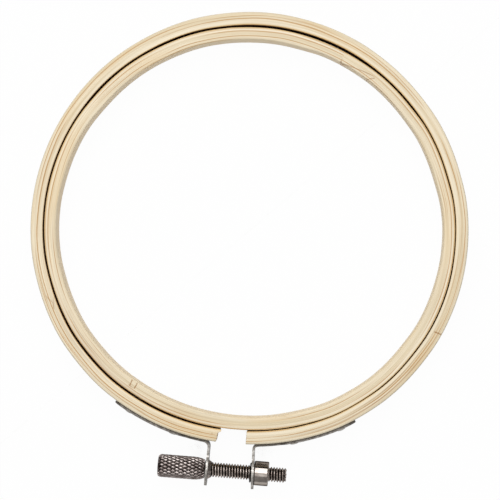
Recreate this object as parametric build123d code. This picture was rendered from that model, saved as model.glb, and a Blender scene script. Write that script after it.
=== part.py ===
from build123d import *
from math import atan2, degrees
import os

# Four inch bamboo embroidery hoop, in millimetres.
# The origin is the centre of both hoops at half their height, +Z is the hoops' axis,
# and the clamp lies towards -Y with its screw along X and the knob at -X.

# Hoops
nominal_diameter = 101.6    # across the inner hoop, the size that the hoop is sold by
hoop_height = 9.0
inner_strip = 3.05          # radial thickness of the inner hoop
outer_strip = 3.2           # radial thickness of the outer hoop
cloth_gap = 0.4             # radial room between the hoops
strip_bevel = 0.5           # easing of the strips' long edges
end_gap = 7.4               # saw cut between the outer hoop's ends
end_bevel = 0.3             # easing of the sawn ends

# Brackets, stamped from sheet
sheet = 0.6
strap_clearance = 0.1       # between the strap and the bamboo
plate_length = 19.5         # wide part that is riveted, along the bamboo
plate_width = 7.2
plate_corner = 2.2
neck_length = 5.6           # narrow part between the plate and the bend
neck_width = 5.2
neck_round = 1.3            # where the neck runs into the plate and the ear
bend_radius = 1.2           # inside of the bend
ear_spacing = 11.5          # between the ears' middle planes
ear_radius = 4.1

# Rivets
rivet_radius = 0.8
rivet_clearance = 0.05
rivet_head_radius = 1.3
rivet_head_height = 0.45
rivet_head_bevel = 0.25
rivet_tail_radius = 1.25
rivet_tail_height = 0.35
rivet_tail_depth = 0.5      # from the bamboo's inner face to the tail
rivet_near_inset = 3.0      # from the plate's neck end
rivet_far_inset = 4.0       # from the plate's free end

# Thumb screw
screw_standoff = 5.3        # from the strap's outer face to the screw's axis
knob_radius = 2.95
knob_length = 12.1
knob_bevel = 0.45
knob_taper_length = 3.1
knob_nose_radius = 2.1
knob_bore_depth = 8.0
press_clearance = 0.02      # pieces that are pressed together
running_clearance = 0.05    # pieces that turn in each other
neck_radius = 1.75
thread_radius = 1.85
thread_chamfer = 0.35
stud_reach = 14.4           # from the middle of the clamp to the stud's tip
collar_radius = 2.35
collar_small_radius = 1.98
collar_length = 0.7

# Clamp nut
nut_radius = 3.05
nut_length = 3.65
nut_bevel = 0.35
spigot_radius = 2.3
flange_radius = 2.6
flange_small_radius = 2.35
flange_thickness = 0.4

# Cutting tools run past what they cut by this much
overrun = 2.0

inner_outside = nominal_diameter / 2
inner_inside = inner_outside - inner_strip
outer_inside = inner_outside + cloth_gap
outer_outside = outer_inside + outer_strip
strap_inside = outer_outside + strap_clearance
strap_outside = strap_inside + sheet
screw_distance = strap_outside + screw_standoff
ear_x = ear_spacing / 2
ear_face = ear_x + sheet / 2    # the ear's face on the strap's side


def strip_ring(inside, outside):
    """A ring of bent strip with eased long edges."""
    section = Rectangle(outside - inside, hoop_height)
    section = chamfer(section.vertices(), strip_bevel)
    middle = (inside + outside) / 2
    return revolve(Plane.XZ * Pos(middle, 0) * section, Axis.Z)


def turned(points, eased=(), bevel=0):
    """A piece turned about the screw's axis, from (place along X, radius) points."""
    outline = make_face(Polyline(*points, close=True))
    for place in eased:
        corner = outline.vertices().sort_by_distance((*place, 0))[0]
        outline = chamfer(corner, bevel)
    return revolve(outline, Axis.X)


def on_screw_axis(piece):
    return Pos(0, -screw_distance, 0) * piece


# Places on the strap, as angles from the -Y axis
bend_reach = strap_outside + bend_radius
bend_x = ear_face + bend_radius
bend_y = (bend_reach**2 - bend_x**2) ** 0.5
bend_angle = degrees(atan2(bend_x, bend_y))
plate_start = bend_angle + degrees(neck_length / strap_outside)
strap_end = plate_start + degrees(plate_length / strap_outside)
rivet_angles = (
    plate_start + degrees(rivet_near_inset / strap_outside),
    strap_end - degrees(rivet_far_inset / strap_outside),
)


def radial(side, angle):
    """A plane on the hoops' axis that looks outwards at an angle from -Y."""
    direction = Vector(0, -1, 0).rotate(Axis.Z, side * angle)
    return Plane(origin=(0, 0, 0), x_dir=(0, 0, 1), z_dir=direction)


def along_ray(side, angle, radius, start, stop):
    """A round bar on a ray from the hoops' centre, between two distances from it."""
    bar = Cylinder(radius, stop - start, align=(Align.CENTER, Align.CENTER, Align.MIN))
    return radial(side, angle) * Pos(0, 0, start) * bar


def rivet_holes(side):
    """Shank holes and the pockets for the tails."""
    tools = []
    hole = rivet_radius + rivet_clearance
    pocket = rivet_tail_radius + rivet_clearance
    pocket_floor = outer_inside + rivet_tail_depth + rivet_tail_height
    for angle in rivet_angles:
        tools.append(along_ray(side, angle, hole, inner_outside - overrun, strap_outside + overrun))
        tools.append(along_ray(side, angle, pocket, inner_outside - overrun, pocket_floor))
    return tools


def rivet(side, angle):
    tail_start = outer_inside + rivet_tail_depth
    tail_end = tail_start + rivet_tail_height
    tail = along_ray(side, angle, rivet_tail_radius, tail_start, tail_end)
    shank = along_ray(side, angle, rivet_radius, tail_end, strap_outside)
    head = along_ray(side, angle, rivet_head_radius, strap_outside, strap_outside + rivet_head_height)
    crown = head.edges().sort_by_distance((0, 0, 0))[-1]
    head = chamfer(crown, rivet_head_bevel)
    return tail + shank + head


def outer_hoop():
    ring = strip_ring(outer_inside, outer_outside)
    slot = Box(end_gap, outer_strip + overrun * 2, hoop_height + overrun)
    ring -= Pos(0, -(outer_inside + outer_outside) / 2, 0) * slot
    sawn_faces = ring.faces().filter_by(Axis.X)
    ring = chamfer(sawn_faces.edges(), end_bevel)
    return ring - rivet_holes(-1) - rivet_holes(1)


def strap_profile():
    """The bent sheet of the right-hand bracket, seen along +Z."""
    tip = screw_distance + ear_radius
    quarter = 90
    turn = quarter - bend_angle
    inner_face = CenterArc((0, 0), strap_inside, bend_angle - quarter, strap_end - bend_angle)
    outer_face = CenterArc((0, 0), strap_outside, bend_angle - quarter, strap_end - bend_angle)
    bend = (bend_x, -bend_y)
    wide_bend = CenterArc(bend, bend_radius + sheet, quarter + bend_angle, turn)
    tight_bend = CenterArc(bend, bend_radius, quarter + bend_angle, turn)
    free_end = Line(inner_face @ 1, outer_face @ 1)
    ear_inner = Line(wide_bend @ 1, (ear_face - sheet, -tip))
    ear_tip = Line((ear_face - sheet, -tip), (ear_face, -tip))
    ear_outer = Line((ear_face, -tip), tight_bend @ 1)
    edges = [inner_face, free_end, outer_face, tight_bend, ear_outer, ear_tip, ear_inner, wide_bend]
    return make_face(edges)


def bracket(side, hole_radius):
    """A strap with its ear: the bent sheet, trimmed to the outline of its blank."""
    width = max(plate_width, neck_width, ear_radius * 2)
    sheet_bent = extrude(strap_profile(), width / 2, both=True)

    # Seen from the clamp's side: the riveted plate, and the neck up to the bend
    neck_reach = neck_length + plate_corner
    front = RectangleRounded(plate_width, plate_length, plate_corner)
    front += Pos(0, plate_length / 2 - plate_corner + neck_reach / 2) * Rectangle(neck_width, neck_reach)
    shoulders = front.vertices().filter_by(lambda v: abs(abs(v.X) - neck_width / 2) < sheet / 2)
    front = fillet(shoulders.sort_by(Axis.Y)[:2], neck_round)
    plate_middle = (plate_start + strap_end) / 2
    strap = extrude(radial(1, plate_middle) * front, strap_outside + overrun)
    bend_depth = bend_reach - strap_inside + overrun
    bend_block = Pos(bend_x / 2, -bend_y, 0) * Box(bend_x, bend_depth, neck_width)

    # Seen along the screw: the neck widens into the round of the ear
    stem = screw_distance - bend_y
    ear_front = Circle(ear_radius) + Pos(stem / 2, 0) * Rectangle(stem, neck_width)
    notches = ear_front.vertices().filter_by(lambda v: abs(abs(v.Y) - neck_width / 2) < sheet / 2)
    ear_front = fillet(notches.sort_by(Axis.X)[:2], neck_round)
    ear = extrude(Plane.YZ * ear_front, ear_spacing)
    blank = strap + bend_block + on_screw_axis(ear)

    piece = sheet_bent & blank
    piece -= on_screw_axis(Rot(0, 90, 0) * Cylinder(hole_radius, ear_spacing * 2))
    for hole in rivet_holes(1):
        piece -= hole
    return piece if side > 0 else mirror(piece, Plane.YZ)


def thumb_knob():
    end = -ear_face - running_clearance
    start = end - knob_length
    bore = neck_radius + press_clearance
    bore_end = end - knob_bore_depth
    body = turned([
        (start, 0),
        (start, knob_radius),
        (end - knob_taper_length, knob_radius),
        (end, knob_nose_radius),
        (end, bore),
        (bore_end, bore),
        (bore_end, 0),
    ], eased=[(start, knob_radius)], bevel=knob_bevel)
    return on_screw_axis(body)


def screw_stud():
    start = -ear_face - running_clearance - knob_bore_depth + press_clearance
    neck_end = -ear_face + sheet + running_clearance + collar_length + press_clearance
    return on_screw_axis(turned([
        (start, 0),
        (start, neck_radius),
        (neck_end, neck_radius),
        (neck_end, thread_radius),
        (stud_reach - thread_chamfer, thread_radius),
        (stud_reach, thread_radius - thread_chamfer),
        (stud_reach, 0),
    ]))


def retaining_collar():
    start = -ear_face + sheet + running_clearance
    bore = neck_radius + press_clearance
    return on_screw_axis(turned([
        (start, bore),
        (start, collar_radius),
        (start + collar_length, collar_small_radius),
        (start + collar_length, bore),
    ]))


def clamp_nut():
    """Barrel outside the right ear, spigot through it, flange swaged over inside."""
    bore = thread_radius + running_clearance
    inside = ear_face - sheet
    nut_end = ear_face + nut_length
    body = turned([
        (inside - flange_thickness, bore),
        (inside - flange_thickness, flange_small_radius),
        (inside, flange_radius),
        (inside, spigot_radius),
        (ear_face, spigot_radius),
        (ear_face, nut_radius),
        (nut_end, nut_radius),
        (nut_end, bore),
    ], eased=[(ear_face, nut_radius), (nut_end, nut_radius)], bevel=nut_bevel)
    return on_screw_axis(body)


os.makedirs("parts", exist_ok=True)
pieces = {
    "inner_hoop": strip_ring(inner_inside, inner_outside),
    "outer_hoop": outer_hoop(),
    "left_bracket": bracket(-1, neck_radius + running_clearance),
    "right_bracket": bracket(1, spigot_radius + press_clearance),
    "thumb_knob": thumb_knob(),
    "screw_stud": screw_stud(),
    "retaining_collar": retaining_collar(),
    "clamp_nut": clamp_nut(),
}
for side, side_name in ((-1, "left"), (1, "right")):
    for place, angle in zip(("near", "far"), rivet_angles):
        pieces[f"{side_name}_rivet_{place}"] = rivet(side, angle)

for name, piece in pieces.items():
    export_step(piece, f"parts/{name}.step")
    print(name, round(piece.volume, 2))
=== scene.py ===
# %% [markdown]
# # A bamboo embroidery hoop
# Cloth is laid over the inner hoop and the outer hoop is pressed down round it. Turning
# the knurled thumb screw draws the outer hoop's two ends together, and the cloth is held.
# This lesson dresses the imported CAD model: it says where every piece is, and each piece
# here is modelled over it in metres, in the same frame.

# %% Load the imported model
import math

import bpy
from mathutils import Matrix, Vector


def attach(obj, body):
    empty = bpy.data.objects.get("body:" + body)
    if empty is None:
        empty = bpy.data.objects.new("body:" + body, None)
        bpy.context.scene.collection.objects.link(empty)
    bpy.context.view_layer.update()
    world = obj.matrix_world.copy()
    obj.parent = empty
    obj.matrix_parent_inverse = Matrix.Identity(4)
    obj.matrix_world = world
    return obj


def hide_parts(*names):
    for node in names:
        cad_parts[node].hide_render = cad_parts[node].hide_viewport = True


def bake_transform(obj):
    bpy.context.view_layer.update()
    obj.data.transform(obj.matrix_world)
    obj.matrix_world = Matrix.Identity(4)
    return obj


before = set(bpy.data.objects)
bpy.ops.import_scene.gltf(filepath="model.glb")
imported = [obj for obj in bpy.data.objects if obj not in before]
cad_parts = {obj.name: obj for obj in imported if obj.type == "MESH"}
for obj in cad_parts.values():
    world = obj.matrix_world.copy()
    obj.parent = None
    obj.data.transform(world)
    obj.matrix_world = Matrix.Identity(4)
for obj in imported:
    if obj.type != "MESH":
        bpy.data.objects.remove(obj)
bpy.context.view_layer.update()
print("CAD nodes:", ", ".join(sorted(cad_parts)))

# %% [markdown]
# ## Working units
# A hoop maker thinks in millimetres and Blender here works in metres, so every size is
# written in millimetres and multiplied once.

# %% Units, and the sizes that the pieces share
MM = 0.001
HALF_HEIGHT = 4.5
INNER_INSIDE, INNER_THICK = 47.75, 3.05
OUTER_INSIDE, OUTER_THICK = 51.2, 3.2
SCREW_Y = -60.4
SHEET = 0.6
STEPS_ROUND = 300


def millimetres(*numbers):
    return Vector(numbers) * MM


# %% [markdown]
# ## Hoops that aren't quite round
# Bent bamboo keeps a will of its own. The outer hoop is a little flat where it is cut and
# clamped, and the gap between the hoops is widest at the far side. Each list gives a few
# places round the hoop, in degrees, with how far the outer strip lies inside the true
# circle there, or how wide the gap is before the outer strip's inner wall is planed. A
# soft average of the nearest places makes a smooth curve.

# %% The hoops' wander from the true circle
OUTER_WANDER = [
    (4, 0.0), (27, 0.26), (49, 0.46), (72, 0.38), (94, 0.27), (117, 0.14), (139, 0.02),
    (162, 0.0), (184, 0.0), (207, 0.14), (229, 0.42), (242, 0.84), (255, 1.0), (266, 1.15),
    (276, 1.15), (288, 0.86), (301, 0.42), (320, 0.22), (341, 0.0),
]
CAD_GAP = 0.4       # between the CAD model's two hoops
HOOP_GAP = [
    (5, 0.12), (27, 0.28), (49, 0.5), (68, 0.74), (85, 0.66), (110, 0.52), (135, 0.42),
    (160, 0.24), (184, 0.22), (196, 0.34), (210, 0.44), (235, 0.52), (250, 0.56), (262, 0.5),
    (272, 0.36), (285, 0.3), (305, 0.16), (325, 0.08), (345, 0.04),
]
# How much is planed off each strip's inner wall
OUTER_PLANED = [
    (5, 0.1), (30, 0.0), (60, -0.06), (90, -0.04), (120, 0.05), (150, 0.14), (180, 0.16),
    (210, 0.08), (240, 0.0), (270, -0.05), (300, 0.0), (325, 0.18), (345, 0.26),
]
INNER_PLANED = [
    (0, 0.25), (20, 0.08), (60, 0.22), (90, -0.1), (118, -0.08), (138, -0.16), (160, 0.0), (185, 0.12),
    (210, 0.05), (240, 0.0), (270, -0.05), (295, -0.2), (320, -0.1), (345, 0.02),
]


def soft_average(places, angle, reach=9.0):
    """The value at an angle, from the places near it."""
    total = weight = 0.0
    for place, value in places:
        away = (angle - place + 180) % 360 - 180
        share = math.exp(-(away / reach) ** 2)
        total += share * value
        weight += share
    return total / weight


def outer_inset(angle):
    return soft_average(OUTER_WANDER, angle)


def inner_inset(angle):
    return outer_inset(angle) + soft_average(HOOP_GAP, angle) - CAD_GAP


def angle_of(point):
    """Degrees round the hoops' axis, from +X."""
    return math.degrees(math.atan2(point.y, point.x)) % 360


# %% [markdown]
# ## Small helpers for modelling
# An operator works on whatever is selected, so each piece starts by letting go of all the
# others. Faces and edges are picked by where they are, as the eye would.

# %% Helpers for edit mode
def mode(name):
    """EDIT works on the active object's mesh, and OBJECT on whole objects."""
    bpy.ops.object.mode_set(mode=name)


def only(piece):
    """Selects one object and makes it the active one."""
    bpy.ops.object.select_all(action="DESELECT")
    piece.select_set(True)
    bpy.context.view_layer.objects.active = piece


def begin(name, add, **options):
    """Lets go of everything, then adds a primitive and names it."""
    bpy.ops.object.select_all(action="DESELECT")
    add(**options)
    piece = bpy.context.object
    piece.name = name
    return piece


def pick_all():
    bpy.ops.mesh.select_all(action="SELECT")


def pick(piece, kind, wanted):
    """In edit mode, selects only the vertices, edges or faces for which wanted(it) is true."""
    modes = {"vertices": "VERT", "edges": "EDGE", "polygons": "FACE"}
    bpy.ops.mesh.select_mode(type=modes[kind])
    bpy.ops.mesh.select_all(action="DESELECT")
    mode("OBJECT")
    for part in getattr(piece.data, kind):
        part.select = wanted(part)
    mode("EDIT")


def tidy_surface(doubles=1e-7):
    """Merges what meets, turns every face outwards and leaves edit mode."""
    pick_all()
    bpy.ops.mesh.remove_doubles(threshold=doubles)
    bpy.ops.mesh.normals_make_consistent(inside=False)
    mode("OBJECT")


def apply_modifier(piece, kind, **settings):
    """Adds a modifier, sets it up and applies it."""
    only(piece)
    modifier = piece.modifiers.new(kind.lower(), kind)
    for setting, value in settings.items():
        setattr(modifier, setting, value)
    bpy.ops.object.modifier_apply(modifier=modifier.name)


def cut_out(piece, tool):
    """Takes the tool's shape out of a piece, and removes the tool."""
    apply_modifier(piece, "BOOLEAN", operation="DIFFERENCE", solver="EXACT", object=tool)
    bpy.data.objects.remove(tool)


def smooth(piece, degrees):
    only(piece)
    bpy.ops.object.shade_smooth_by_angle(angle=math.radians(degrees))


def report(piece):
    faces = len(piece.data.polygons)
    size = ", ".join(f"{side / MM:.1f}" for side in piece.dimensions)
    print(f"{piece.name}: {faces} faces, {size} mm")


# %% [markdown]
# ## The bamboo strips
# Each hoop is one strip, planed to a rectangle with eased edges and bent round a former.
# In Blender the strip's end is a small plane whose corners are bevelled, and spinning its
# outline about the hoops' axis does the bending. A torus would have been quicker, but its
# section is round, and the flat top with its two eased edges is what catches the light.

# %% Spin a strip's section round the hoops' axis
INNER_EASING = (0.5, 0.28)
OUTER_EASING = (0.25, 0.5)


def bend_strip(name, inside, thick, easing, start, sweep):
    """A strip from start over sweep, in degrees clockwise. An open ring stays open at its ends.

    easing is the size of the rounded edges at the inner wall and at the outer one."""
    strip = begin(name, bpy.ops.mesh.primitive_plane_add, size=1, rotation=(math.pi / 2, 0, 0))
    strip.scale = millimetres(thick, HALF_HEIGHT * 2, 1)
    bpy.ops.object.transform_apply(location=False, rotation=True, scale=True)
    mode("EDIT")
    pick_all()
    bpy.ops.transform.translate(value=millimetres(inside + thick / 2, 0, 0))
    for wall, offset in zip((inside, inside + thick), easing):
        pick(strip, "vertices", lambda vertex: abs(vertex.co.x / MM - wall) < 0.01)
        bpy.ops.mesh.bevel(offset=offset * MM, segments=5, profile=0.5, affect="VERTICES")
    pick_all()
    bpy.ops.mesh.delete(type="ONLY_FACE")
    mode("OBJECT")
    strip.rotation_euler = (0, 0, math.radians(start))
    bpy.ops.object.transform_apply(location=False, rotation=True, scale=False)
    mode("EDIT")
    pick_all()
    bpy.ops.mesh.spin(steps=STEPS_ROUND, angle=math.radians(sweep), center=(0, 0, 0), axis=(0, 0, 1))
    tidy_surface()
    return strip


def let_wander(strip, middle, inset, planed):
    """Moves every point of a strip towards the axis by inset(angle), in millimetres."""
    for vertex in strip.data.vertices:
        angle = angle_of(vertex.co)
        shift = inset(angle)
        if vertex.co.xy.length < middle * MM:
            shift -= soft_average(planed, angle)
        vertex.co -= Vector((vertex.co.x, vertex.co.y, 0)).normalized() * shift * MM
    strip.data.update()


inner = bend_strip("inner_bamboo_hoop", INNER_INSIDE, INNER_THICK, INNER_EASING, 0, 360)
let_wander(inner, INNER_INSIDE + INNER_THICK / 2, inner_inset, INNER_PLANED)
report(inner)

# %% [markdown]
# ## The saw cut in the outer hoop
# The outer strip is bent the same way, a little too long at both ends, and then sawn.
# Bisect is that saw: it cuts the picked faces on a plane, throws one side away and closes
# the end. The right end is square, and the left one was cut at a slight slant.

# %% The outer hoop and its sawn ends
SAW_LEAD = 3.0      # degrees on either side of the clamp's middle, less than the saw takes
RIGHT_END = (3.33, -50.5, 0)
LEFT_END = (-3.75, -50.5, 0)
LEFT_SLANT = 8.0
SAWN_EASING = 0.14

outer = bend_strip("outer_bamboo_hoop", OUTER_INSIDE, OUTER_THICK, OUTER_EASING,
                   270 - SAW_LEAD, 360 - 2 * SAW_LEAD)
let_wander(outer, OUTER_INSIDE + OUTER_THICK / 2, outer_inset, OUTER_PLANED)


def saw_end(strip, side, place, slant):
    """Cuts one end on a plane that stands upright, and eases the new edges."""
    lean = math.radians(slant)
    facing = Vector((-side * math.cos(lean), -math.sin(lean), 0))
    only(strip)
    mode("EDIT")
    pick(strip, "polygons", lambda face: 0 < face.center.x * side < 12 * MM and face.center.y < 0)
    bpy.ops.mesh.bisect(plane_co=millimetres(*place), plane_no=facing, use_fill=True, clear_outer=True)
    pick(strip, "polygons", lambda face: len(face.vertices) > 8 and abs(face.normal.dot(facing)) > 0.99)
    bpy.ops.mesh.bevel(offset=SAWN_EASING * MM, segments=2, affect="EDGES")
    tidy_surface()


saw_end(outer, 1, RIGHT_END, 0)
saw_end(outer, -1, LEFT_END, LEFT_SLANT)

# %% The splinter that the saw left on the inner edge of the left end
SPLINTER_LENGTH, SPLINTER_ROOT = 0.8, 0.35
SPLINTER_EDGE, SPLINTER_TOP = -50.6, 1.5    # it lies above this Y, and is long above this Z
SHORT_SHARE = 0.25                          # how long it is lower down
SPLINTER_CUTS = (-50.5, -50.85)             # new edges at these Y, one in it and one beside it

only(outer)
mode("EDIT")
for depth in SPLINTER_CUTS:
    pick(outer, "polygons", lambda face: -6 * MM < face.center.x < 0 and face.center.y < 0)
    bpy.ops.mesh.bisect(plane_co=millimetres(0, depth, 0), plane_no=(0, 1, 0))
tidy_surface()
for vertex in outer.data.vertices:
    x, y, z = vertex.co / MM
    near_end = max(0.0, 1 - abs(x - LEFT_END[0]) / SPLINTER_ROOT)
    if y >= SPLINTER_EDGE:
        vertex.co.x += SPLINTER_LENGTH * near_end * (1 if z > SPLINTER_TOP else SHORT_SHARE) * MM
report(outer)

# %% [markdown]
# ## Pockets for the rivet tails
# Two rivets go through the strip at each end, and their tails are sunk so that the cloth
# doesn't catch. A Boolean takes four short drills out of the strip's inner face.

# %% Drill the pockets
RIVET_ANGLES = (16.34, 29.34)
POCKET_RADIUS, POCKET_DEPTH = 1.3, 0.85


def on_strap(side, degrees_from_clamp):
    """The outward direction at a place on a strap, and how far the strip lies inside there."""
    angle = 270 + side * degrees_from_clamp
    outward = Vector((math.cos(math.radians(angle)), math.sin(math.radians(angle)), 0))
    return outward, outer_inset(angle)


def stand_along(outward, distance):
    """Turns a piece that stands on Z to look along outward, that far from the axis."""
    turn = outward.to_track_quat("Z", "Y").to_matrix().to_4x4()
    return Matrix.Translation(outward * distance * MM) @ turn


for side in (-1, 1):
    for degrees in RIVET_ANGLES:
        outward, inset = on_strap(side, degrees)
        drill = begin("drill", bpy.ops.mesh.primitive_cylinder_add, vertices=40,
                      radius=POCKET_RADIUS * MM, depth=2 * POCKET_DEPTH * MM)
        drill.data.transform(stand_along(outward, OUTER_INSIDE - inset))
        cut_out(outer, drill)
report(outer)

# %% [markdown]
# ## Coordinates that run along the strip
# Bamboo fibres follow the strip round the hoop, so its pattern can't be laid on straight.
# Each corner of each face remembers how far along the strip it is, how deep in its
# thickness and how high, and the material reads those three numbers. The numbers belong
# to the mesh, so the grain stays put when the hoop is sprung open.

# %% Write the strip coordinates
def mark_strip(strip, inside, thick, inset, seam):
    """seam is the angle where the strip begins and ends."""
    mesh = strip.data
    table = mesh.attributes.new("strip", "FLOAT_VECTOR", "CORNER")
    middle = inside + thick / 2
    for face in mesh.polygons:
        centre = (angle_of(face.center) - seam) % 360
        for corner in face.loop_indices:
            point = mesh.vertices[mesh.loops[corner].vertex_index].co
            angle = (angle_of(point) - seam) % 360
            if angle - centre > 180:
                angle -= 360
            elif centre - angle > 180:
                angle += 360
            along = math.radians(angle) * middle
            across = point.xy.length / MM - inside + inset(angle_of(point))
            table.data[corner].vector = (along, across, point.z / MM)


INNER_SEAM, OUTER_SEAM = 66.0, 270.0
mark_strip(inner, INNER_INSIDE, INNER_THICK, inner_inset, INNER_SEAM)
mark_strip(outer, OUTER_INSIDE, OUTER_THICK, outer_inset, OUTER_SEAM)
smooth(inner, 35)
smooth(outer, 35)
print("Strip coordinates written")

# %% [markdown]
# ## The stamped brackets
# Each bracket is a blank cut from sheet: a wide plate that is riveted on, a narrow neck,
# and a round ear. It is bent to the hoop, and the ear is turned out square to it. Here
# the blank is a grid whose rows take the outline's width, and the same grid is then laid
# along the bent line. Solidify gives it the sheet's thickness, and a bevel rounds the
# edges as stamping and tumbling do.

# %% The blank's outline and its bent line
EAR_RADIUS = 4.1
EAR_CORNERS = {-1: -5.8, 1: 5.3}
EAR_TIPS = {-1: -6.0, 1: 5.72}
TIP_ROOM = 0.03             # the ear's tip stays that far inside the CAD model's box
PLATE_LENGTH, PLATE_HALF, PLATE_CORNER = 19.5, 3.6, 2.2
NECK_HALF = 2.6
STRAP_MIDDLE = 54.8
STRAP_END_ANGLE = 33.5


def soft_max(first, second, softness=0.5):
    """The larger of two numbers, with a soft change where they cross."""
    near = max(0.0, 1 - abs(first - second) / softness)
    return max(first, second) + near * near * softness / 4


def arc_height(radius, aside):
    """How high a circle stands at that distance to the side of its centre."""
    return math.sqrt(max(0.0, radius ** 2 - aside ** 2))


def half_width(along, axis_at):
    """Half the blank's width, that far from its free end."""
    def corner(from_end):
        return PLATE_HALF - PLATE_CORNER + arc_height(PLATE_CORNER, PLATE_CORNER - from_end)
    if along < PLATE_CORNER:
        return corner(along)
    if along < PLATE_LENGTH - PLATE_CORNER:
        return PLATE_HALF
    if along < PLATE_LENGTH:
        return soft_max(corner(PLATE_LENGTH - along), NECK_HALF)
    ear = arc_height(EAR_RADIUS, along - axis_at)
    return ear if along > axis_at else soft_max(ear, NECK_HALF)


def round_corner(start, corner, stop, steps):
    """Points on a curve from start to stop that is drawn towards the corner."""
    shares = [step / steps for step in range(steps + 1)]
    return [start.lerp(corner, t).lerp(corner.lerp(stop, t), t) for t in shares]


def bent_line(side, bend):
    """Points along the middle of the sheet, from the strap's free end to the ear's tip."""
    def on_hoop(degrees):
        outward, inset = on_strap(side, degrees)
        return outward.xy * (STRAP_MIDDLE - inset)
    tip = Vector((EAR_TIPS[side], SCREW_Y - EAR_RADIUS + TIP_ROOM))
    corner_x = EAR_CORNERS[side]
    turn = 5.0
    while abs(on_hoop(turn).x) < abs(corner_x):
        turn += 0.01
    corner = Vector((corner_x, on_hoop(turn).y))
    reach = turn - STRAP_END_ANGLE
    strap = [on_hoop(STRAP_END_ANGLE + reach * step / 120) for step in range(121)]
    strap = [point for point in strap if (point - corner).length > bend]
    after = corner + (tip - corner).normalized() * bend
    return [*strap, *round_corner(strap[-1], corner, after, 10)[1:], tip]


def measure(line):
    """The length along a line at each of its points."""
    lengths = [0.0]
    for here, there in zip(line, line[1:]):
        lengths.append(lengths[-1] + (there - here).length)
    return lengths


def walk(line, lengths, distance):
    """The point that far along a line."""
    for index in range(1, len(line)):
        if distance <= lengths[index] or index == len(line) - 1:
            step = (distance - lengths[index - 1]) / (lengths[index] - lengths[index - 1])
            return line[index - 1].lerp(line[index], min(1.0, step))


def distance_from(line, point):
    """How far a point is from a line of points."""
    nearest = []
    for here, there in zip(line, line[1:]):
        step = there - here
        share = max(0.0, min(1.0, (point - here).dot(step) / step.length_squared))
        nearest.append((here + step * share - point).length)
    return min(nearest)


# %% Bend each blank to its hoop end
BRACKET_EASING = 0.24
ROWS = 8
PLATE_ROWS, EAR_ROWS = 10, 24       # rows in the plate's first round and in the ear's last one
# How far each point is spared the painted shade of the finish, from 0 for the darkest to 1 for
# none. The flat sides are spared. The stamped rim gets painted shade: darker on the strap than on
# the ear, and darker near the sheet's two faces than in between: each pair is (near the faces, in between).
UNSHADED_SIDE = 1.2
STRAP_RIM, EAR_RIM = (0.48, 0.78), (0.58, 1.1)
EAR_STARTS, EAR_BLEND = -53.0, 1.5  # from strap to ear, starting at this Y and over this length


def note_rim(piece, line):
    """Writes on each point how far a bracket's faces and rim are spared the painted shade."""
    table = piece.data.attributes.new("relief", "FLOAT", "POINT")
    for vertex, cell in zip(piece.data.vertices, table.data):
        in_sheet = 1 - min(1.0, distance_from(line, vertex.co.xy / MM) / (SHEET / 2))
        on_ear = min(1.0, max(0.0, (EAR_STARTS - vertex.co.y / MM) / EAR_BLEND))
        low, high = (strap + (ear - strap) * on_ear for strap, ear in zip(STRAP_RIM, EAR_RIM))
        # The rim gets painted shade, and the flat sides are left alone
        on_rim = abs(vertex.normal.z) > 0.08
        cell.value = low + (high - low) * in_sheet if on_rim else UNSHADED_SIDE


def stamp_bracket(name, side, bend, hole):
    """bend is how far before its corner the sheet starts to turn, and hole is a radius."""
    line = bent_line(side, bend)
    lengths = measure(line)
    axis_at = lengths[-1] - EAR_RADIUS
    quarter = math.tau / 4
    places = [PLATE_CORNER * (1 - math.cos(quarter * row / PLATE_ROWS)) for row in range(PLATE_ROWS)]
    plain = [axis_at * step / 110 for step in range(111)]
    places += [place for place in plain if place > PLATE_CORNER]
    places += [axis_at + EAR_RADIUS * math.sin(quarter * (row + 1) / EAR_ROWS) for row in range(EAR_ROWS)]
    cells = len(places) - 1
    piece = begin(name, bpy.ops.mesh.primitive_grid_add, x_subdivisions=cells, y_subdivisions=ROWS, size=1)
    for vertex in piece.data.vertices:
        place = places[round((vertex.co.x + 0.5) * cells)]
        point = walk(line, lengths, place)
        height = vertex.co.y * 2 * half_width(place, axis_at)
        vertex.co = millimetres(point.x, point.y, height)
    mode("EDIT")
    tidy_surface(doubles=2e-6)
    apply_modifier(piece, "SOLIDIFY", thickness=SHEET * MM, offset=0.0, use_even_offset=True)
    punch = begin("punch", bpy.ops.mesh.primitive_cylinder_add, vertices=48, radius=hole * MM, depth=4 * MM,
                  rotation=(0, math.pi / 2, 0), location=millimetres(EAR_TIPS[side], SCREW_Y, 0))
    cut_out(piece, punch)
    apply_modifier(piece, "BEVEL", width=BRACKET_EASING * MM, segments=4,
                   limit_method="ANGLE", angle_limit=math.radians(50))
    note_rim(piece, line)
    smooth(piece, 60)
    report(piece)
    return piece


left_bracket = stamp_bracket("left_stamped_bracket", side=-1, bend=1.5, hole=1.8)
right_bracket = stamp_bracket("right_stamped_bracket", side=1, bend=1.1, hole=2.32)

# %% [markdown]
# ## Turned pieces
# Rivets, collar and nut come off a lathe, and spin is Blender's lathe. One vertex is
# extruded from point to point to draw half of the section, then the line is spun about
# the axis. A sharp corner takes no highlight, so each one is drawn as a small arc.

# %% A lathe
def ease_corners(points, segments=4):
    """points are (along, radius, easing). A corner with an easing becomes a small arc."""
    line = []
    for index, (along, radius, easing) in enumerate(points):
        corner = Vector((along, radius))
        if not easing:
            line.append(corner)
            continue
        before = Vector(points[index - 1][:2])
        after = Vector(points[index + 1][:2])
        start = corner + (before - corner).normalized() * easing
        stop = corner + (after - corner).normalized() * easing
        line += round_corner(start, corner, stop, segments)
    return line


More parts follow.
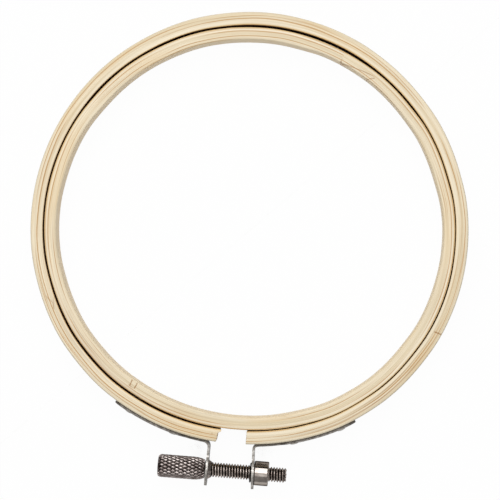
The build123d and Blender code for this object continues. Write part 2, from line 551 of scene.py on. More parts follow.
def draw_line(name, points):
    """Extrudes a single vertex from point to point. It stays in edit mode."""
    piece = begin(name, bpy.ops.mesh.primitive_plane_add, size=1)
    mode("EDIT")
    bpy.ops.mesh.select_mode(type="VERT")
    pick_all()
    bpy.ops.mesh.merge(type="CENTER")
    bpy.ops.transform.translate(value=points[0])
    for here, there in zip(points, points[1:]):
        bpy.ops.mesh.extrude_region_move(TRANSFORM_OT_translate={"value": there - here})
    return piece


def turn_on_screw(name, points, steps=72):
    """A turned piece on the thumb screw's axis. Its outline is (along X, radius, easing)."""
    line = [millimetres(along, SCREW_Y, radius) for along, radius in ease_corners(points)]
    piece = draw_line(name, line)
    pick_all()
    bpy.ops.mesh.spin(steps=steps, angle=math.tau, center=millimetres(0, SCREW_Y, 0), axis=(1, 0, 0))
    tidy_surface(doubles=2e-7)
    return piece


# %% [markdown]
# ## Rivets
# A rivet is drawn once, standing on Z with the strap's outer face at height zero: a low
# domed head above it, and the shank and the flattened tail below. The four rivets are
# copies, each with its own mesh, turned to face outwards at its place.

# %% Turn one rivet and copy it to its places
STRAP_OUTSIDE = 55.1
RIVET_LINE = [
    (0.45, 0, 0), (0.43, 0.45, 0), (0.34, 0.85, 0), (0.18, 1.15, 0), (0.0, 1.3, 0.06),
    (-0.02, 0.8, 0), (-3.05, 0.8, 0), (-3.05, 1.25, 0.08), (-3.4, 1.25, 0.1), (-3.4, 0, 0),
]
line = [millimetres(radius, 0, height) for height, radius in ease_corners(RIVET_LINE)]
pattern = draw_line("rivet_pattern", line)
pick_all()
bpy.ops.mesh.spin(steps=40, angle=math.tau, center=(0, 0, 0), axis=(0, 0, 1))
tidy_surface()
rivets = {}
for side, hand in ((-1, "left"), (1, "right")):
    for degrees, place in zip(RIVET_ANGLES, ("near", "far")):
        outward, inset = on_strap(side, degrees)
        rivet = bpy.data.objects.new(f"{hand}_{place}_rivet", pattern.data.copy())
        bpy.context.scene.collection.objects.link(rivet)
        rivet.data.transform(stand_along(outward, STRAP_OUTSIDE - inset))
        smooth(rivet, 40)
        rivets[f"{hand}_rivet_{place}"] = rivet
bpy.data.objects.remove(pattern)
print("Rivets:", ", ".join(rivets))

# %% [markdown]
# ## The clamp nut and the collar
# The nut is a small barrel outside the right ear. A spigot goes through the ear and is
# swaged over inside it, so the nut can't turn. The collar is what keeps the screw in the
# left ear: a thin cone, wide against the ear.

# %% Turn the nut and the collar
BORE = 1.9
nut = turn_on_screw("clamp_barrel_nut", [
    (4.8, BORE, 0), (4.8, 2.35, 0.05), (5.15, 2.6, 0.08), (5.16, 2.28, 0), (5.89, 2.28, 0),
    (5.9, 3.05, 0.25), (9.5, 3.05, 0.3), (9.5, 2.1, 0.1), (9.3, BORE, 0), (4.8, BORE, 0),
], steps=96)
collar = turn_on_screw("screw_collar", [
    (-5.6, 1.77, 0), (-5.6, 2.4, 0.06), (-4.8, 1.95, 0.08), (-4.8, 1.77, 0), (-5.6, 1.77, 0),
])
for piece in (nut, collar):
    smooth(piece, 40)
    report(piece)

# %% [markdown]
# ## The rolled thread
# A real thread is one tooth wound along a helix, so that is how it is made: the outline
# of a single tooth, and a Screw modifier that turns and advances it. Bisect squares the
# ends and the last turn is turned down to a small cone, which starts the nut.

# %% Wind the thread
PITCH = 0.7
CREST, ROOT = 1.85, 1.42
THREAD_START, THREAD_END = -4.79, 13.9
CONE_DROP = 0.38            # how far below the crests the cone at the end starts
# One tooth from root to root: places along the pitch, and heights from root 0 to crest 1
TOOTH = [
    (0, 0), (0.07, 0), (0.22, 0.62), (0.3, 0.95), (0.35, 1), (0.42, 1), (0.47, 0.95),
    (0.55, 0.62), (0.7, 0),
]


def scale_from_x(vertex, factor):
    """Moves a point straight towards the X axis or away from it."""
    vertex.co.y *= factor
    vertex.co.z *= factor


line = [millimetres(THREAD_START - PITCH + along, 0, ROOT + (CREST - ROOT) * rise) for along, rise in TOOTH]
thread = draw_line("rolled_thread", line)
mode("OBJECT")
apply_modifier(thread, "SCREW", axis="X", angle=math.tau, screw_offset=PITCH * MM,
               iterations=math.ceil((THREAD_END - THREAD_START) / PITCH) + 2, steps=36, render_steps=36,
               use_merge_vertices=True, merge_threshold=1e-7)
mode("EDIT")
for place, facing in ((THREAD_START, (-1, 0, 0)), (THREAD_END, (1, 0, 0))):
    pick_all()
    bpy.ops.mesh.bisect(plane_co=millimetres(place, 0, 0), plane_no=facing, use_fill=True, clear_outer=True)
tidy_surface()
for vertex in thread.data.vertices:
    radius = vertex.co.yz.length
    limit = (CREST - CONE_DROP) * MM + max(0.0, THREAD_END * MM - vertex.co.x)
    if radius > limit:
        scale_from_x(vertex, limit / radius)
thread.data.transform(Matrix.Translation(millimetres(0, SCREW_Y, 0)))
neck = turn_on_screw("screw_neck", [
    (-14.08, 0, 0), (-14.08, 1.75, 0.1), (-4.6, 1.75, 0), (-4.6, 0, 0),
], steps=40)
report(thread)

# %% [markdown]
# ## Knurling the thumb knob
# A knurling tool rolls two crossing sets of grooves into the barrel, and diamonds stand
# up between them. Poking every face of a plain barrel draws both sets of grooves as
# diagonals, and dissolving the barrel's first edges leaves one face for each diamond.
# Each is inset, raised, and poked into a blunt point.

# %% Knurl the barrel
KNOB_START, KNOB_END = -18.2, -6.4
KNOB_RADIUS, NOSE_RADIUS = 2.95, 2.4
KNURL_DEPTH = 0.34
AROUND, ALONG = 18, 6
# Two insets shape each diamond, as (how far in, how far up), and then its middle is raised
DIAMOND_STEPS = ((0.08, 0.14), (0.15, 0.1))
DIAMOND_MIDDLE = 0.05

length = KNOB_END - KNOB_START
groove_radius = KNOB_RADIUS - KNURL_DEPTH
knob = begin("knurled_thumb_knob", bpy.ops.mesh.primitive_cylinder_add, vertices=AROUND,
             radius=groove_radius * MM, depth=length * MM, end_fill_type="NOTHING",
             rotation=(0, math.pi / 2, 0))
bpy.ops.object.transform_apply(location=False, rotation=True, scale=False)


def ends_along(edge):
    """Where an edge's two points lie along the knob, in millimetres from its middle."""
    return [knob.data.vertices[point].co.x / MM for point in edge.vertices]


mode("EDIT")
pick(knob, "edges", lambda edge: abs(ends_along(edge)[0] - ends_along(edge)[1]) > 1)
bpy.ops.mesh.subdivide(number_cuts=ALONG - 1)
mode("OBJECT")
first_points = len(knob.data.vertices)
mode("EDIT")
pick_all()
bpy.ops.mesh.poke()
mode("OBJECT")
for vertex in knob.data.vertices[first_points:]:
    scale_from_x(vertex, groove_radius * MM / vertex.co.yz.length)
mode("EDIT")
pick(knob, "edges", lambda edge: max(edge.vertices) < first_points
     and abs(abs(sum(ends_along(edge))) - length) > 0.01)
bpy.ops.mesh.dissolve_edges(use_verts=False)
pick_all()
for inwards, upwards in DIAMOND_STEPS:
    bpy.ops.mesh.inset(thickness=inwards * MM, depth=upwards * MM, use_individual=True, use_boundary=True)
bpy.ops.mesh.poke(offset=DIAMOND_MIDDLE * MM)
mode("OBJECT")
report(knob)

# %% [markdown]
# ## The knob's outline
# The far end is rounded over and the near end runs down to a narrow nose against the ear.
# The knurl is pressed down with it, so each point keeps its height above the grooves.
# Heights are noted first, because the finish darkens the grooves with dirt and painted shade.

# %% Shape the knob's ends and close them
TAPER = 3.1
FAR_ROUND, FAR_DROP = 0.8, 0.55     # how long the far end's rounding is, and how deep
RUBBED_END = 0.8                    # the end faces are nearly as clean as the crests


def knob_outline(along):
    """The knob's radius there, in millimetres."""
    far = along - KNOB_START
    near = KNOB_END - along
    radius = KNOB_RADIUS
    if far < FAR_ROUND:
        radius -= FAR_DROP * (1 - arc_height(1.0, 1 - far / FAR_ROUND))
    if near < TAPER:
        radius -= (KNOB_RADIUS - NOSE_RADIUS) * (1 - near / TAPER) ** 2.2
    return radius


def note_relief(piece, low, high, height_of):
    """Writes 0 at the bottom of the relief to 1 at its top on each point."""
    table = piece.data.attributes.new("relief", "FLOAT", "POINT")
    for vertex, cell in zip(piece.data.vertices, table.data):
        cell.value = min(1.0, max(0.0, (height_of(vertex.co) - low) / (high - low)))


note_relief(knob, groove_radius, KNOB_RADIUS - 0.1, lambda point: point.yz.length / MM)
middle = (KNOB_START + KNOB_END) / 2
for vertex in knob.data.vertices:
    radius = vertex.co.yz.length
    pressed = radius - (KNOB_RADIUS - knob_outline(vertex.co.x / MM + middle)) * MM
    scale_from_x(vertex, pressed / radius)
    vertex.co.x += middle * MM
    vertex.co.y += SCREW_Y * MM
only(knob)
mode("EDIT")
for end, hollow in ((KNOB_START, 0.05), (KNOB_END, 0)):
    pick(knob, "vertices", lambda vertex: abs(vertex.co.x - end * MM) < 0.02 * MM)
    bpy.ops.mesh.edge_face_add()
    bpy.ops.mesh.inset(thickness=0.25 * MM, depth=0)
    bpy.ops.mesh.inset(thickness=0.5 * MM, depth=hollow * MM)
tidy_surface()
smooth(knob, 48)
report(knob)

# %% Note the relief of the other turned pieces
def from_screw(point):
    """A point's distance from the screw's axis, in millimetres."""
    return math.hypot(point.y / MM - SCREW_Y, point.z / MM)


def thread_height(point):
    """The radius on the thread. Its end face is rubbed as bright as the crests."""
    return CREST if point.x / MM > THREAD_END - 0.1 else from_screw(point)


for vertex, cell in zip(knob.data.vertices, knob.data.attributes["relief"].data):
    if from_screw(vertex.co) < NOSE_RADIUS - 0.2:
        cell.value = RUBBED_END
# The nut is painted dark inside the ear and left light outside it, and the collar is painted dark all over:
# painted shade
note_relief(nut, 5.0, 6.2, lambda point: point.x / MM)
note_relief(collar, 0.5, 4.8, from_screw)
note_relief(thread, ROOT, CREST, thread_height)
smooth(thread, 50)

# %% [markdown]
# ## Shader nodes, briefly
# Every finish below is built from nodes in code. One helper adds a node and fills its
# inputs. What comes out of a node is a wire here, and wires take part in sums as numbers
# do. A group is a set of nodes with named inputs and outputs that several materials share.

# %% Wires between shader nodes
class Wire:
    """What comes out of a node. Each sum with a wire becomes a Math node."""

    def __init__(self, socket):
        self.socket = socket
        self.tree = socket.id_data

    def __add__(self, other):
        return sums("ADD", self, other)

    def __sub__(self, other):
        return sums("SUBTRACT", self, other)

    def __rsub__(self, other):
        return sums("SUBTRACT", other, self)

    def __mul__(self, other):
        return sums("MULTIPLY", self, other)

    def __truediv__(self, other):
        return sums("DIVIDE", self, other)

    def __abs__(self):
        return sums("ABSOLUTE", self)

    def clamped(self):
        """Keeps what the last sum gives between 0 and 1."""
        self.socket.node.use_clamp = True
        return self


def fill(node, inputs):
    """Gives inputs, by name or number, a wire or a plain value."""
    for label, value in inputs.items():
        if isinstance(value, Wire):
            value.tree.links.new(value.socket, node.inputs[label])
        else:
            node.inputs[label].default_value = value


def put(tree, kind, inputs, **options):
    """Adds a node, sets its options and fills its inputs."""
    node = tree.nodes.new(kind)
    for option, value in options.items():
        setattr(node, option, value)
    fill(node, inputs)
    return node


def take(tree, kind, inputs, output=0, **options):
    """Adds a node for one of its outputs, and gives that as a wire."""
    return Wire(put(tree, kind, inputs, **options).outputs[output])


def wires(node):
    """All outputs of a node, by name."""
    return {socket.name: Wire(socket) for socket in node.outputs}


def sums(operation, *values):
    """A Math node. One of the values, or more, is a wire."""
    tree = next(value.tree for value in values if isinstance(value, Wire))
    return take(tree, "ShaderNodeMath", dict(enumerate(values)), operation=operation)


# %% Helpers for what the finishes need again and again
def greatest(first, *others):
    for other in others:
        first = sums("MAXIMUM", first, other)
    return first


def vector(tree, x, y, z):
    return take(tree, "ShaderNodeCombineXYZ", {0: x, 1: y, 2: z})


def parts_of(place):
    """A vector's X, Y and Z."""
    return wires(put(place.tree, "ShaderNodeSeparateXYZ", {0: place})).values()


def noise(place, scale, detail, roughness=0.5):
    inputs = {"Vector": place, "Scale": scale, "Detail": detail, "Roughness": roughness}
    return take(place.tree, "ShaderNodeTexNoise", inputs)


def soft_step(value, low, high):
    """0 at low and 1 at high, with a soft change in between. low may be the larger one."""
    inputs = {"Value": value, "From Min": low, "From Max": high}
    return take(value.tree, "ShaderNodeMapRange", inputs, "Result", interpolation_type="SMOOTHSTEP")


def mix_colours(share, first, second, way="MIX"):
    tree = next(value.tree for value in (share, first, second) if isinstance(value, Wire))
    return take(tree, "ShaderNodeMix", {0: share, 6: first, 7: second}, 2, data_type="RGBA", blend_type=way)


def openness(tree, reach, samples):
    """1 in the open, and less where other surfaces stand within reach, in millimetres."""
    return take(tree, "ShaderNodeAmbientOcclusion", {"Distance": reach * MM}, "AO", samples=samples)


def bump(height, depth, strength):
    """The surface's normal, tilted by a height whose depth is in millimetres."""
    inputs = {"Height": height, "Distance": depth * MM, "Strength": strength}
    return take(height.tree, "ShaderNodeBump", inputs)


def group_node(tree, group, inputs):
    return wires(put(tree, "ShaderNodeGroup", inputs, node_tree=group))


def colour(red, green, blue):
    """A screen colour, 0 to 255, as the linear colour that Blender works in."""
    def linear(part):
        part /= 255
        return part / 12.92 if part <= 0.04045 else ((part + 0.055) / 1.055) ** 2.4
    return (linear(red), linear(green), linear(blue), 1.0)


def new_group(name, inputs, outputs):
    """A shader node group. inputs and outputs list the sockets' names under each kind."""
    tree = bpy.data.node_groups.new(name, "ShaderNodeTree")
    for way, kinds in (("INPUT", inputs), ("OUTPUT", outputs)):
        for kind, labels in kinds.items():
            for label in labels.split(", "):
                tree.interface.new_socket(label, in_out=way, socket_type=f"NodeSocket{kind}")
    return tree, wires(tree.nodes.new("NodeGroupInput")), tree.nodes.new("NodeGroupOutput")


def new_material(name):
    material = bpy.data.materials.new(name)
    material.use_nodes = True
    tree = material.node_tree
    return material, tree, tree.nodes["Principled BSDF"]


# %% [markdown]
# ## Bamboo
# Split bamboo is pale straw with fine fibres along the strip, darker where the vessel
# bundles were cut through. The group reads the strip coordinates: its noises are
# stretched many times along the strip, so that spots become long lines. A few lines run
# most of the way round, as the edge of a growth layer does.

# %% The bamboo fibre group
def bamboo_group():
    tree, given, out = new_group(
        "bamboo fibres",
        {"Vector": "Strip", "Color": "Pale, Straw, Vessel",
         "Float": "Seed, Layer edge, Second edge, Strength"},
        {"Color": "Color", "Float": "Roughness, Height"})
    along, deep, high = parts_of(given["Strip"])
    along = along + given["Seed"] * 37.0
    sway = noise(vector(tree, along * 0.05, 0.0, given["Seed"]), 1.0, 2.0)
    deep = deep + (sway - 0.5) * 0.7

    def streaks(length, width, detail):
        """Noise in streaks of about that length and width, in millimetres."""
        place = vector(tree, along / length, deep / width, high / width)
        return noise(place, 1.0, detail, roughness=0.55)

    broad = streaks(60.0, 1.1, 2.0)
    fine = streaks(22.0, 0.16, 3.0)
    hair = streaks(7.0, 0.07, 2.0)
    blush = streaks(26.0, 3.0, 1.0)

    # Vessel bundles are long dark cells that come and go
    place = vector(tree, along / 90.0, deep / 0.55, high / 0.7)
    bundle = take(tree, "ShaderNodeTexVoronoi", {"Vector": place, "Scale": 1.0}, "Distance", feature="F1")
    bundle = soft_step(bundle, 0.24, 0.06) * soft_step(streaks(30.0, 0.9, 1.0), 0.36, 0.54)

    def layer_edge(place, width, length, tall, fade):
        """A line at one depth. It comes in where a broad noise rises through the two fade levels."""
        line = soft_step(abs(deep - place), width, width * 0.2)
        return line * soft_step(streaks(length, tall, 1.0), *fade)

    first = layer_edge(given["Layer edge"], 0.17, 34.0, 50.0, (0.36, 0.56))
    second = layer_edge(given["Second edge"], 0.13, 41.0, 40.0, (0.44, 0.6))
    third = layer_edge(given["Layer edge"] + 0.62, 0.1, 24.0, 30.0, (0.46, 0.6))
    lines = greatest(first, second, bundle * 0.85, third * 0.8)
    lines = (lines * given["Strength"]).clamped()

    def by_fibre(low, high):
        """Follows the fine streaks from low to high."""
        inputs = {"Value": fine, "From Min": 0.3, "From Max": 0.7, "To Min": low, "To Max": high}
        return take(tree, "ShaderNodeMapRange", inputs)

    base = mix_colours(soft_step(broad, 0.36, 0.64), given["Pale"], given["Straw"])
    warm = mix_colours(1.0, base, colour(253, 244, 230), "MULTIPLY")
    base = mix_colours(soft_step(blush, 0.5, 0.68) * 0.6, base, warm)
    shade = by_fibre(0.83, 1.09)
    base = mix_colours(1.0, base, vector(tree, shade, shade, shade), "MULTIPLY")
    base = mix_colours(soft_step(hair, 0.58, 0.72) * 0.45, base, given["Vessel"])
    fill(out, {
        "Color": mix_colours(lines, base, given["Vessel"]),
        "Roughness": by_fibre(0.44, 0.6),
        "Height": fine * 0.6 - lines * 0.4,
    })
    return tree


BAMBOO_FIBRES = bamboo_group()
print("Group:", BAMBOO_FIBRES.name)

# %% [markdown]
# ## Joints and marks on the strips
# The inner strip's ends are planed to long wedges and glued over each other. On the top
# edge that joint shows as a slanting line with a small tick at each end. A mark is given
# by its angle round the hoop, from which depth to which it goes, and how much it slants.
# The marks that are many millimetres wide and thin in depth are the long golden lines.

# %% The mark group
def mark_group():
    tree, given, out = new_group(
        "strip mark", {"Vector": "Strip", "Float": "Along, From, To, Slant, Width"}, {"Float": "Mask"})
    along, deep, _ = parts_of(given["Strip"])
    past = deep - given["From"]
    wobble = (noise(given["Strip"], 2.2, 2.0) - 0.5) * 0.35
    away = along - given["Along"] - past * given["Slant"] + wobble
    stretch = sums("SQRT", given["Slant"] * given["Slant"] + 1.0)
    line = (1.0 - abs(away) / stretch / given["Width"]).clamped()
    inside = soft_step(past, -0.1, 0.1) * soft_step(given["To"] - deep, -0.1, 0.1)
    fill(out, {"Mask": line * inside})
    return tree


STRIP_MARK = mark_group()

# %% The bamboo's material
STRIP_COLOURS = {
    "Pale": colour(241, 227, 199), "Straw": colour(230, 213, 180), "Vessel": colour(196, 154, 102),
}
LINE_STRENGTH = 1.35
MARK_BROWN = colour(158, 110, 60)
# Painted light: the tone that the inner wall is drawn towards
INNER_WALL_LIGHT = colour(232, 210, 172)
# A pale band on the top beside the gap: a painted highlight
PAINTED_EDGE_HIGHLIGHT = colour(255, 244, 222)
# Painted shade on the edge beside the gap
GAP_EDGE_SHADE = colour(248, 227, 190)
BARK = colour(214, 203, 180)
# Painted shade deep in the gap
PAINTED_GAP_SHADE = colour(96, 34, 4)    # light that has bounced often between two strips


def bamboo_material(name, seed, edges, marks, seam, middle, gap_side, rind):
    """marks are (degrees round the hoop, from, to, slant, width, darkness).

    seam is the angle where the strip begins, and middle the radius of its middle. gap_side is
    the depth of the wall beside the other hoop, and rind how much bark is left."""
    material, tree, shader = new_material(name)
    strip = take(tree, "ShaderNodeAttribute", {}, "Vector", attribute_name="strip")
    fibres = group_node(tree, BAMBOO_FIBRES, {
        "Strip": strip, "Seed": seed, **STRIP_COLOURS, "Layer edge": edges[0], "Second edge": edges[1],
        "Strength": LINE_STRENGTH,
    })
    shade, height = fibres["Color"], fibres["Height"]
    for degrees, *values, darkness in marks:
        along = math.radians((degrees - seam) % 360) * middle
        inputs = dict(zip(("Along", "From", "To", "Slant", "Width"), (along, *values)))
        mask = group_node(tree, STRIP_MARK, {"Strip": strip, **inputs})["Mask"] * darkness
        shade = mix_colours(mask, shade, MARK_BROWN)
        height = height - mask

    # The inner wall gets painted light, and a band of the top a little off the gap gets a painted highlight
    _, deep, high = parts_of(strip)
    from_middle = abs(high)
    # Painted light: the inner wall is drawn halfway towards a cream tone, standing in for the light on it
    wall_light = soft_step(deep, 0.3, 0.05) * soft_step(from_middle, 4.3, 3.9)
    shade = mix_colours(wall_light * 0.5, shade, INNER_WALL_LIGHT)
    from_gap = abs(deep - gap_side)
    # Painted highlight: a pale band on the top, a little off the gap, where the rounded edge would catch
    # the light
    worn = soft_step(abs(from_gap - 0.6), 0.4, 0.15) * soft_step(from_middle, 4.1, 4.3)
    shade = mix_colours(worn * 0.3, shade, PAINTED_EDGE_HIGHLIGHT)

    # The edge beside the gap is painted darker and warmer, as painted shade, and the outer wall keeps some
    # bark
    edge_shaded = mix_colours(1.0, shade, GAP_EDGE_SHADE, "MULTIPLY")
    at_gap = soft_step(from_gap, 0.36, 0.08) * soft_step(from_middle, 3.0, 4.0)
    shade = mix_colours(at_gap, shade, edge_shaded)
    shade = mix_colours(soft_step(deep, 2.85, 3.1) * rind, shade, BARK)

    # Deep in the gap little light comes back, so the base colour there is painted red brown: painted shade
    open_share = soft_step(openness(tree, 1.6, 6), 0.14, 0.5)
    fill(shader, {
        "Base Color": mix_colours(open_share, PAINTED_GAP_SHADE, shade),
        "Roughness": (fibres["Roughness"] + (1.0 - open_share)).clamped(),
        "Specular IOR Level": 0.22,
        "Normal": bump(height, 0.04, 0.5),
    })
    return material


inner_bamboo = bamboo_material("pale bamboo, inner strip", seed=1.0, edges=(2.15, 0.9), marks=[
    (65.5, 0.0, 1.5, 0.5, 0.24, 0.8),
    (56.6, 0.0, 1.7, -0.9, 0.2, 0.7),
    (65.1, 0.2, 1.9, -4.9, 0.2, 0.7),
    (65.9, 1.2, 2.0, 3.5, 0.2, 0.5),
    (236.6, 0.2, 1.9, 0.2, 0.24, 0.95),
    (238.4, 0.2, 1.8, 0.1, 0.24, 0.95),
    (237.5, 1.72, 1.95, 0.0, 1.1, 0.6),
    (228.0, 2.2, 3.3, 0.0, 28.0, 0.42),
    (252.0, 1.15, 1.4, 0.0, 18.0, 0.4),
    (222.0, 1.5, 1.75, 0.0, 16.0, 0.4),
], seam=INNER_SEAM, middle=INNER_INSIDE + INNER_THICK / 2, gap_side=INNER_THICK, rind=0.0)
outer_bamboo = bamboo_material("pale bamboo, outer strip", seed=4.0, edges=(1.55, 2.35), marks=[
    (335.7, 1.2, 3.3, 0.1, 0.24, 1.0),
    (203.8, 0.4, 1.4, 2.5, 0.26, 0.6),
    (204.8, 1.0, 2.0, -2.0, 0.22, 0.5),
    (264.2, 1.1, 1.5, 0.0, 0.18, 0.6),
    (311.0, 2.0, 2.3, 0.0, 26.0, 0.65),
    (317.0, 0.95, 1.2, 0.0, 20.0, 0.6),
    (305.0, 1.45, 1.65, 0.0, 22.0, 0.5),
    (222.0, 0.55, 0.8, 0.0, 26.0, 0.5),
    (352.0, 0.9, 1.15, 0.0, 16.0, 0.4),
    (170.0, 1.2, 1.4, 0.0, 22.0, 0.35),
], seam=OUTER_SEAM, middle=OUTER_INSIDE + OUTER_THICK / 2, gap_side=0.0, rind=0.7)
inner.data.materials.append(inner_bamboo)
outer.data.materials.append(outer_bamboo)
print("Bamboo is on both hoops")

# %% [markdown]
# ## Plated steel
# The small steel parts are tumbled and plated. Up close the plating is never even: there
# are faint brush lines, duller clouds and small dark specks. The grooves of the knurl and
# the thread hold oil and dust, and are darkened further with painted shade. One group makes
# the plating and a second one the dark colour of oil, dust and painted shade in low places.

# %% The plating and grime groups
PITTED = colour(52, 44, 38)


def in_millimetres(place):
    return take(place.tree, "ShaderNodeVectorMath", {0: place, "Scale": 1 / MM}, operation="SCALE")


def plating_group():
    tree, given, out = new_group(
        "worn plating", {"Vector": "Place", "Color": "Bright, Dull", "Float": "Grain, Polish, Specks"},
        {"Color": "Color", "Float": "Roughness, Height"})
    place = in_millimetres(given["Place"])
    clouds = noise(place, 0.9, 4.0)
    lines = take(tree, "ShaderNodeMapping", {"Vector": place, "Scale": (9.0, 1.5, 1.5)})
    brushed = noise(lines, given["Grain"], 3.0)
    specks = soft_step(noise(place, 5.0, 2.0), 0.6, 0.72) * given["Specks"]
    base = mix_colours(soft_step(clouds, 0.38, 0.66), given["Bright"], given["Dull"])
    rough = given["Polish"] + (clouds - 0.5) * 0.3 + specks * 0.3
    fill(out, {
        "Color": mix_colours(specks, base, PITTED),
        "Roughness": rough.clamped(),
        "Height": brushed - specks * 0.6,
    })
    return tree


def grime_and_shade_group():
    """Oil, dust and painted shade lie where the relief is below Reach, in a patchy way, and are less
    metallic.
    """
    tree, given, out = new_group(
        "grime in the grooves",
        {"Vector": "Place", "Color": "Color, Grime", "Float": "Roughness, Relief, Reach"},
        {"Color": "Color", "Float": "Roughness, Metallic"})
    patchy = noise(in_millimetres(given["Place"]), 1.6, 3.0) - 0.5
    level = given["Relief"] + patchy * 0.5
    mask = (1.0 - soft_step(level, given["Reach"] * 0.35, given["Reach"])).clamped()
    fill(out, {
        "Color": mix_colours(mask, given["Color"], given["Grime"]),
        "Roughness": (given["Roughness"] + mask * 0.35).clamped(),
        "Metallic": 1.0 - mask * 0.6,
    })
    return tree


WORN_PLATING = plating_group()
GRIME_AND_SHADE = grime_and_shade_group()

# %% The steels
GRAZING_EDGE = colour(40, 36, 34)   # how dark a steel turns where it is seen edge on
# Painted shade in corners beside another piece
CORNER_SHADE = colour(88, 81, 74)


def steel_material(name, bright, dull, grain, polish, specks, grime=None, reach=0.5, bumps=0.3, corner=0.0):
    """Plated steel. With a colour for dirt and painted shade, the piece's relief attribute says where the
    grooves and shaded places are.

    corner is how far, in millimetres, painted shade reaches out of a corner next to another piece."""
    material, tree, shader = new_material(name)
    place = take(tree, "ShaderNodeTexCoord", {}, "Object")
    plating = group_node(tree, WORN_PLATING, {
        "Place": place, "Bright": colour(*bright), "Dull": colour(*dull), "Grain": grain,
        "Polish": polish, "Specks": specks,
    })
    shade, rough = plating["Color"], plating["Roughness"]
    fill(shader, {"Metallic": 1.0, "Specular Tint": GRAZING_EDGE})
    # Low relief takes the dark colour: part oil and dust, part painted shade
    if grime:
        dirt = group_node(tree, GRIME_AND_SHADE, {
            "Color": shade, "Roughness": rough, "Place": place, "Grime": colour(*grime), "Reach": reach,
            "Relief": take(tree, "ShaderNodeAttribute", {}, "Fac", attribute_name="relief"),
        })
        shade, rough = dirt["Color"], dirt["Roughness"]
        fill(shader, {"Metallic": dirt["Metallic"]})
    # Painted shade: the base colour darkens where another piece stands close by
    if corner:
        open_share = soft_step(openness(tree, corner, 8), 0.5, 0.98)
        shade = mix_colours(open_share, CORNER_SHADE, shade)
    fill(shader, {"Base Color": shade, "Roughness": rough, "Normal": bump(plating["Height"], 0.02, bumps)})
    return material


def dress(pieces, material):
    for piece in pieces:
        piece.data.materials.clear()
        piece.data.materials.append(material)


bracket_steel = steel_material("tumbled steel, brackets", (238, 235, 230), (216, 212, 206), 1.2, 0.22, 0.18,
                               grime=(104, 97, 90), reach=0.9, corner=1.6)
rivet_steel = steel_material("plated steel, rivets", (236, 233, 227), (204, 199, 191), 1.0, 0.24, 0.25)
nut_steel = steel_material("turned steel, nut", (168, 160, 153), (146, 137, 131), 1.0, 0.14, 0.12,
                           grime=(30, 25, 22), reach=0.6, bumps=0.12)
knob_steel = steel_material("knurled steel, knob", (178, 168, 164), (128, 117, 113), 1.0, 0.26, 0.3,
                            grime=(30, 24, 21), reach=0.5)
thread_steel = steel_material("rolled steel, thread", (214, 202, 194), (152, 139, 131), 1.0, 0.2, 0.25,
                              grime=(11, 8, 6), reach=0.6)
dress((left_bracket, right_bracket), bracket_steel)
dress(rivets.values(), rivet_steel)
dress((nut,), nut_steel)
dress((knob,), knob_steel)
dress((collar, thread, neck), thread_steel)
print("Steel finishes:", ", ".join(m.name for m in bpy.data.materials if "steel" in m.name))

# %% [markdown]
# ## What moves with what
# Each new piece stands for its CAD node and rides on that node's body. The outer hoop is
# sprung open by its left end: its far side stays and the left half bends. Here its mesh is
# only baked in place, put on no body, and its CAD node is hidden.

# %% Put the pieces on their bodies
only(thread)
neck.select_set(True)
bpy.ops.object.join()

RIDES = [
    (inner, "inner_hoop", "inner_hoop", "inner_bamboo"),
    (left_bracket, "left_end", "left_bracket", "bracket_steel"),
    (right_bracket, "outer_hoop", "right_bracket", "bracket_steel"),
    (nut, "outer_hoop", "clamp_nut", "nut_steel"),
    (knob, "thumb_screw", "thumb_knob", "knob_steel"),
    (thread, "thumb_screw", "screw_stud", "thread_steel"),
    (collar, "thumb_screw", "retaining_collar", "thread_steel"),
]
for node, rivet in rivets.items():
    RIDES.append((rivet, "left_end" if node.startswith("left") else "outer_hoop", node, "rivet_steel"))
for piece, body, node, slot in RIDES:
    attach(piece, body)
    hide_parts(node)


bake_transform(outer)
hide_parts("outer_hoop")
print("Pieces on bodies:", len(RIDES) + 1)

# %% [markdown]
# ## Floor and light
# The hoop lies on a white table that fades to plain white for the camera and in the
# steel's reflections, and still keeps the hoop's shadow. A large soft lamp beyond the far
# side, a little to the left, gives the wood its form and the steel its bright stripes, and
# a dim, uneven room fills in the rest.

# %% The table
WHITE_SHARE = 0.97
DROP = 0.02                 # just under the hoop, so that their faces don't meet
# Painted shade on the table where the hoop closes in over it: a dark brown
PAINTED_SHADE_UNDER_HOOP = colour(96, 48, 20)
table = begin("table", bpy.ops.mesh.primitive_plane_add, size=12.0,
              location=millimetres(0, 0, -HALF_HEIGHT - DROP))
bpy.ops.object.transform_apply(location=True, rotation=False, scale=False)
material, tree, shader = new_material("white table")
rays = wires(put(tree, "ShaderNodeLightPath", {}))
seen = (rays["Is Camera Ray"] + (rays["Is Glossy Ray"] + rays["Is Transmission Ray"])).clamped()
# Painted shade: where the hoop stands close over the table, it turns dark brown and stops glowing white
open_share = soft_step(openness(tree, 6, 8), 0.1, 0.28)
fill(shader, {"Base Color": mix_colours(open_share, PAINTED_SHADE_UNDER_HOOP, colour(232, 232, 232)), "Roughness": 0.8})
white = mix_colours(open_share, PAINTED_SHADE_UNDER_HOOP, colour(255, 255, 255))
glow = take(tree, "ShaderNodeEmission", {"Color": white, "Strength": 1.0})
share = seen * (open_share * WHITE_SHARE)
faded = take(tree, "ShaderNodeMixShader", {0: share, 1: Wire(shader.outputs[0]), 2: glow})
fill(tree.nodes["Material Output"], {"Surface": faded})
table.data.materials.append(material)

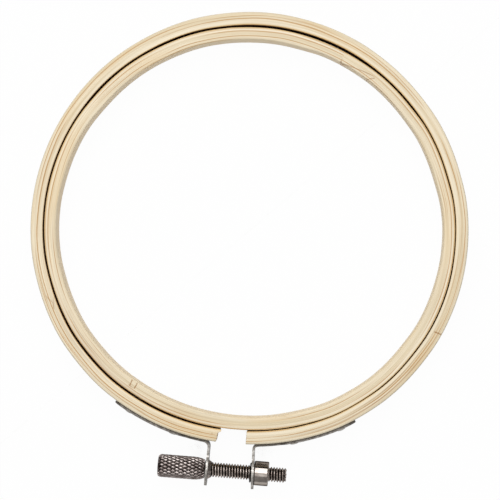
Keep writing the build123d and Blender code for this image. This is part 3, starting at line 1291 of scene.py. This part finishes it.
# %% The lamp
LAMP_PLACE, LAMP_AIM = Vector((-0.17, 0.56, 0.98)), Vector((-0.17, 0, 0))
lamp_data = bpy.data.lights.new("far side lamp", "AREA")
lamp_data.shape = "RECTANGLE"
lamp_data.size, lamp_data.size_y = 0.74, 0.95
lamp_data.energy = 7.7
lamp = bpy.data.objects.new("far side lamp", lamp_data)
lamp.location = LAMP_PLACE
lamp.rotation_euler = (LAMP_AIM - LAMP_PLACE).to_track_quat("-Z", "Y").to_euler()
bpy.context.scene.collection.objects.link(lamp)

# %% The room
# In the steel it is dim, with a white panel overhead, a grey near side and a white horizon
DIM_ROOM, NEAR_SIDE_GREY = 0.006, 0.42
# Everything else gets an even light, with more of it from above
LEVEL_LIGHT, MORE_ABOVE = 0.3, 0.36
world = bpy.data.worlds.new("room")
bpy.context.scene.world = world
world.use_nodes = True
tree = world.node_tree
rays = wires(put(tree, "ShaderNodeLightPath", {}))
_, depth, height = parts_of(take(tree, "ShaderNodeTexCoord", {}, "Generated"))
overhead = soft_step(height, 0.86, 0.97)
near_side = soft_step(depth, 0.1, -0.2)
horizon = soft_step(abs(height), 0.1, 0.04)
room = greatest(overhead + DIM_ROOM + near_side * NEAR_SIDE_GREY, horizon)
even = soft_step(height, 0.0, 0.9) * MORE_ABOVE + LEVEL_LIGHT
level = take(tree, "ShaderNodeMix", {0: rays["Is Glossy Ray"], 2: even, 3: room}, data_type="FLOAT")
seen = (rays["Is Camera Ray"] + rays["Is Transmission Ray"]).clamped()
level = take(tree, "ShaderNodeMix", {0: seen, 2: level, 3: 1.0}, data_type="FLOAT")
fill(tree.nodes["Background"], {"Color": (1, 1, 1, 1), "Strength": level})

# %% [markdown]
# ## The camera
# The picture is taken from straight above with a long lens, and the hoop is turned a
# little, so that its clamp points down and slightly to the left. The camera stands nearly
# two centimetres to the right of the hoop's axis, which shows more of the left inner wall.

# %% The camera
ROLL = math.radians(4.5)
# In millimetres to the picture's right, towards its top, and up from the hoop
STAND = (16.8, -5.5, 650)
AIM = (0.125, -5.0, 0)
right = Vector((math.cos(ROLL), math.sin(ROLL), 0))
up = Vector((-math.sin(ROLL), math.cos(ROLL), 0))
stand, aim = ((right * x + up * y + Vector((0, 0, z))) * MM for x, y, z in (STAND, AIM))
camera = bpy.data.objects.new("camera", bpy.data.cameras.new("camera"))
bpy.context.scene.collection.objects.link(camera)
camera.data.sensor_width = 36
camera.data.lens = 187.4
camera.data.clip_start, camera.data.clip_end = 0.01, 10
back = (stand - aim).normalized()
side = up.cross(back).normalized()
turn = Matrix((side, back.cross(side), back)).transposed()
camera.matrix_world = Matrix.Translation(stand) @ turn.to_4x4()
bpy.context.scene.camera = camera
bpy.context.scene.view_settings.view_transform = "Standard"
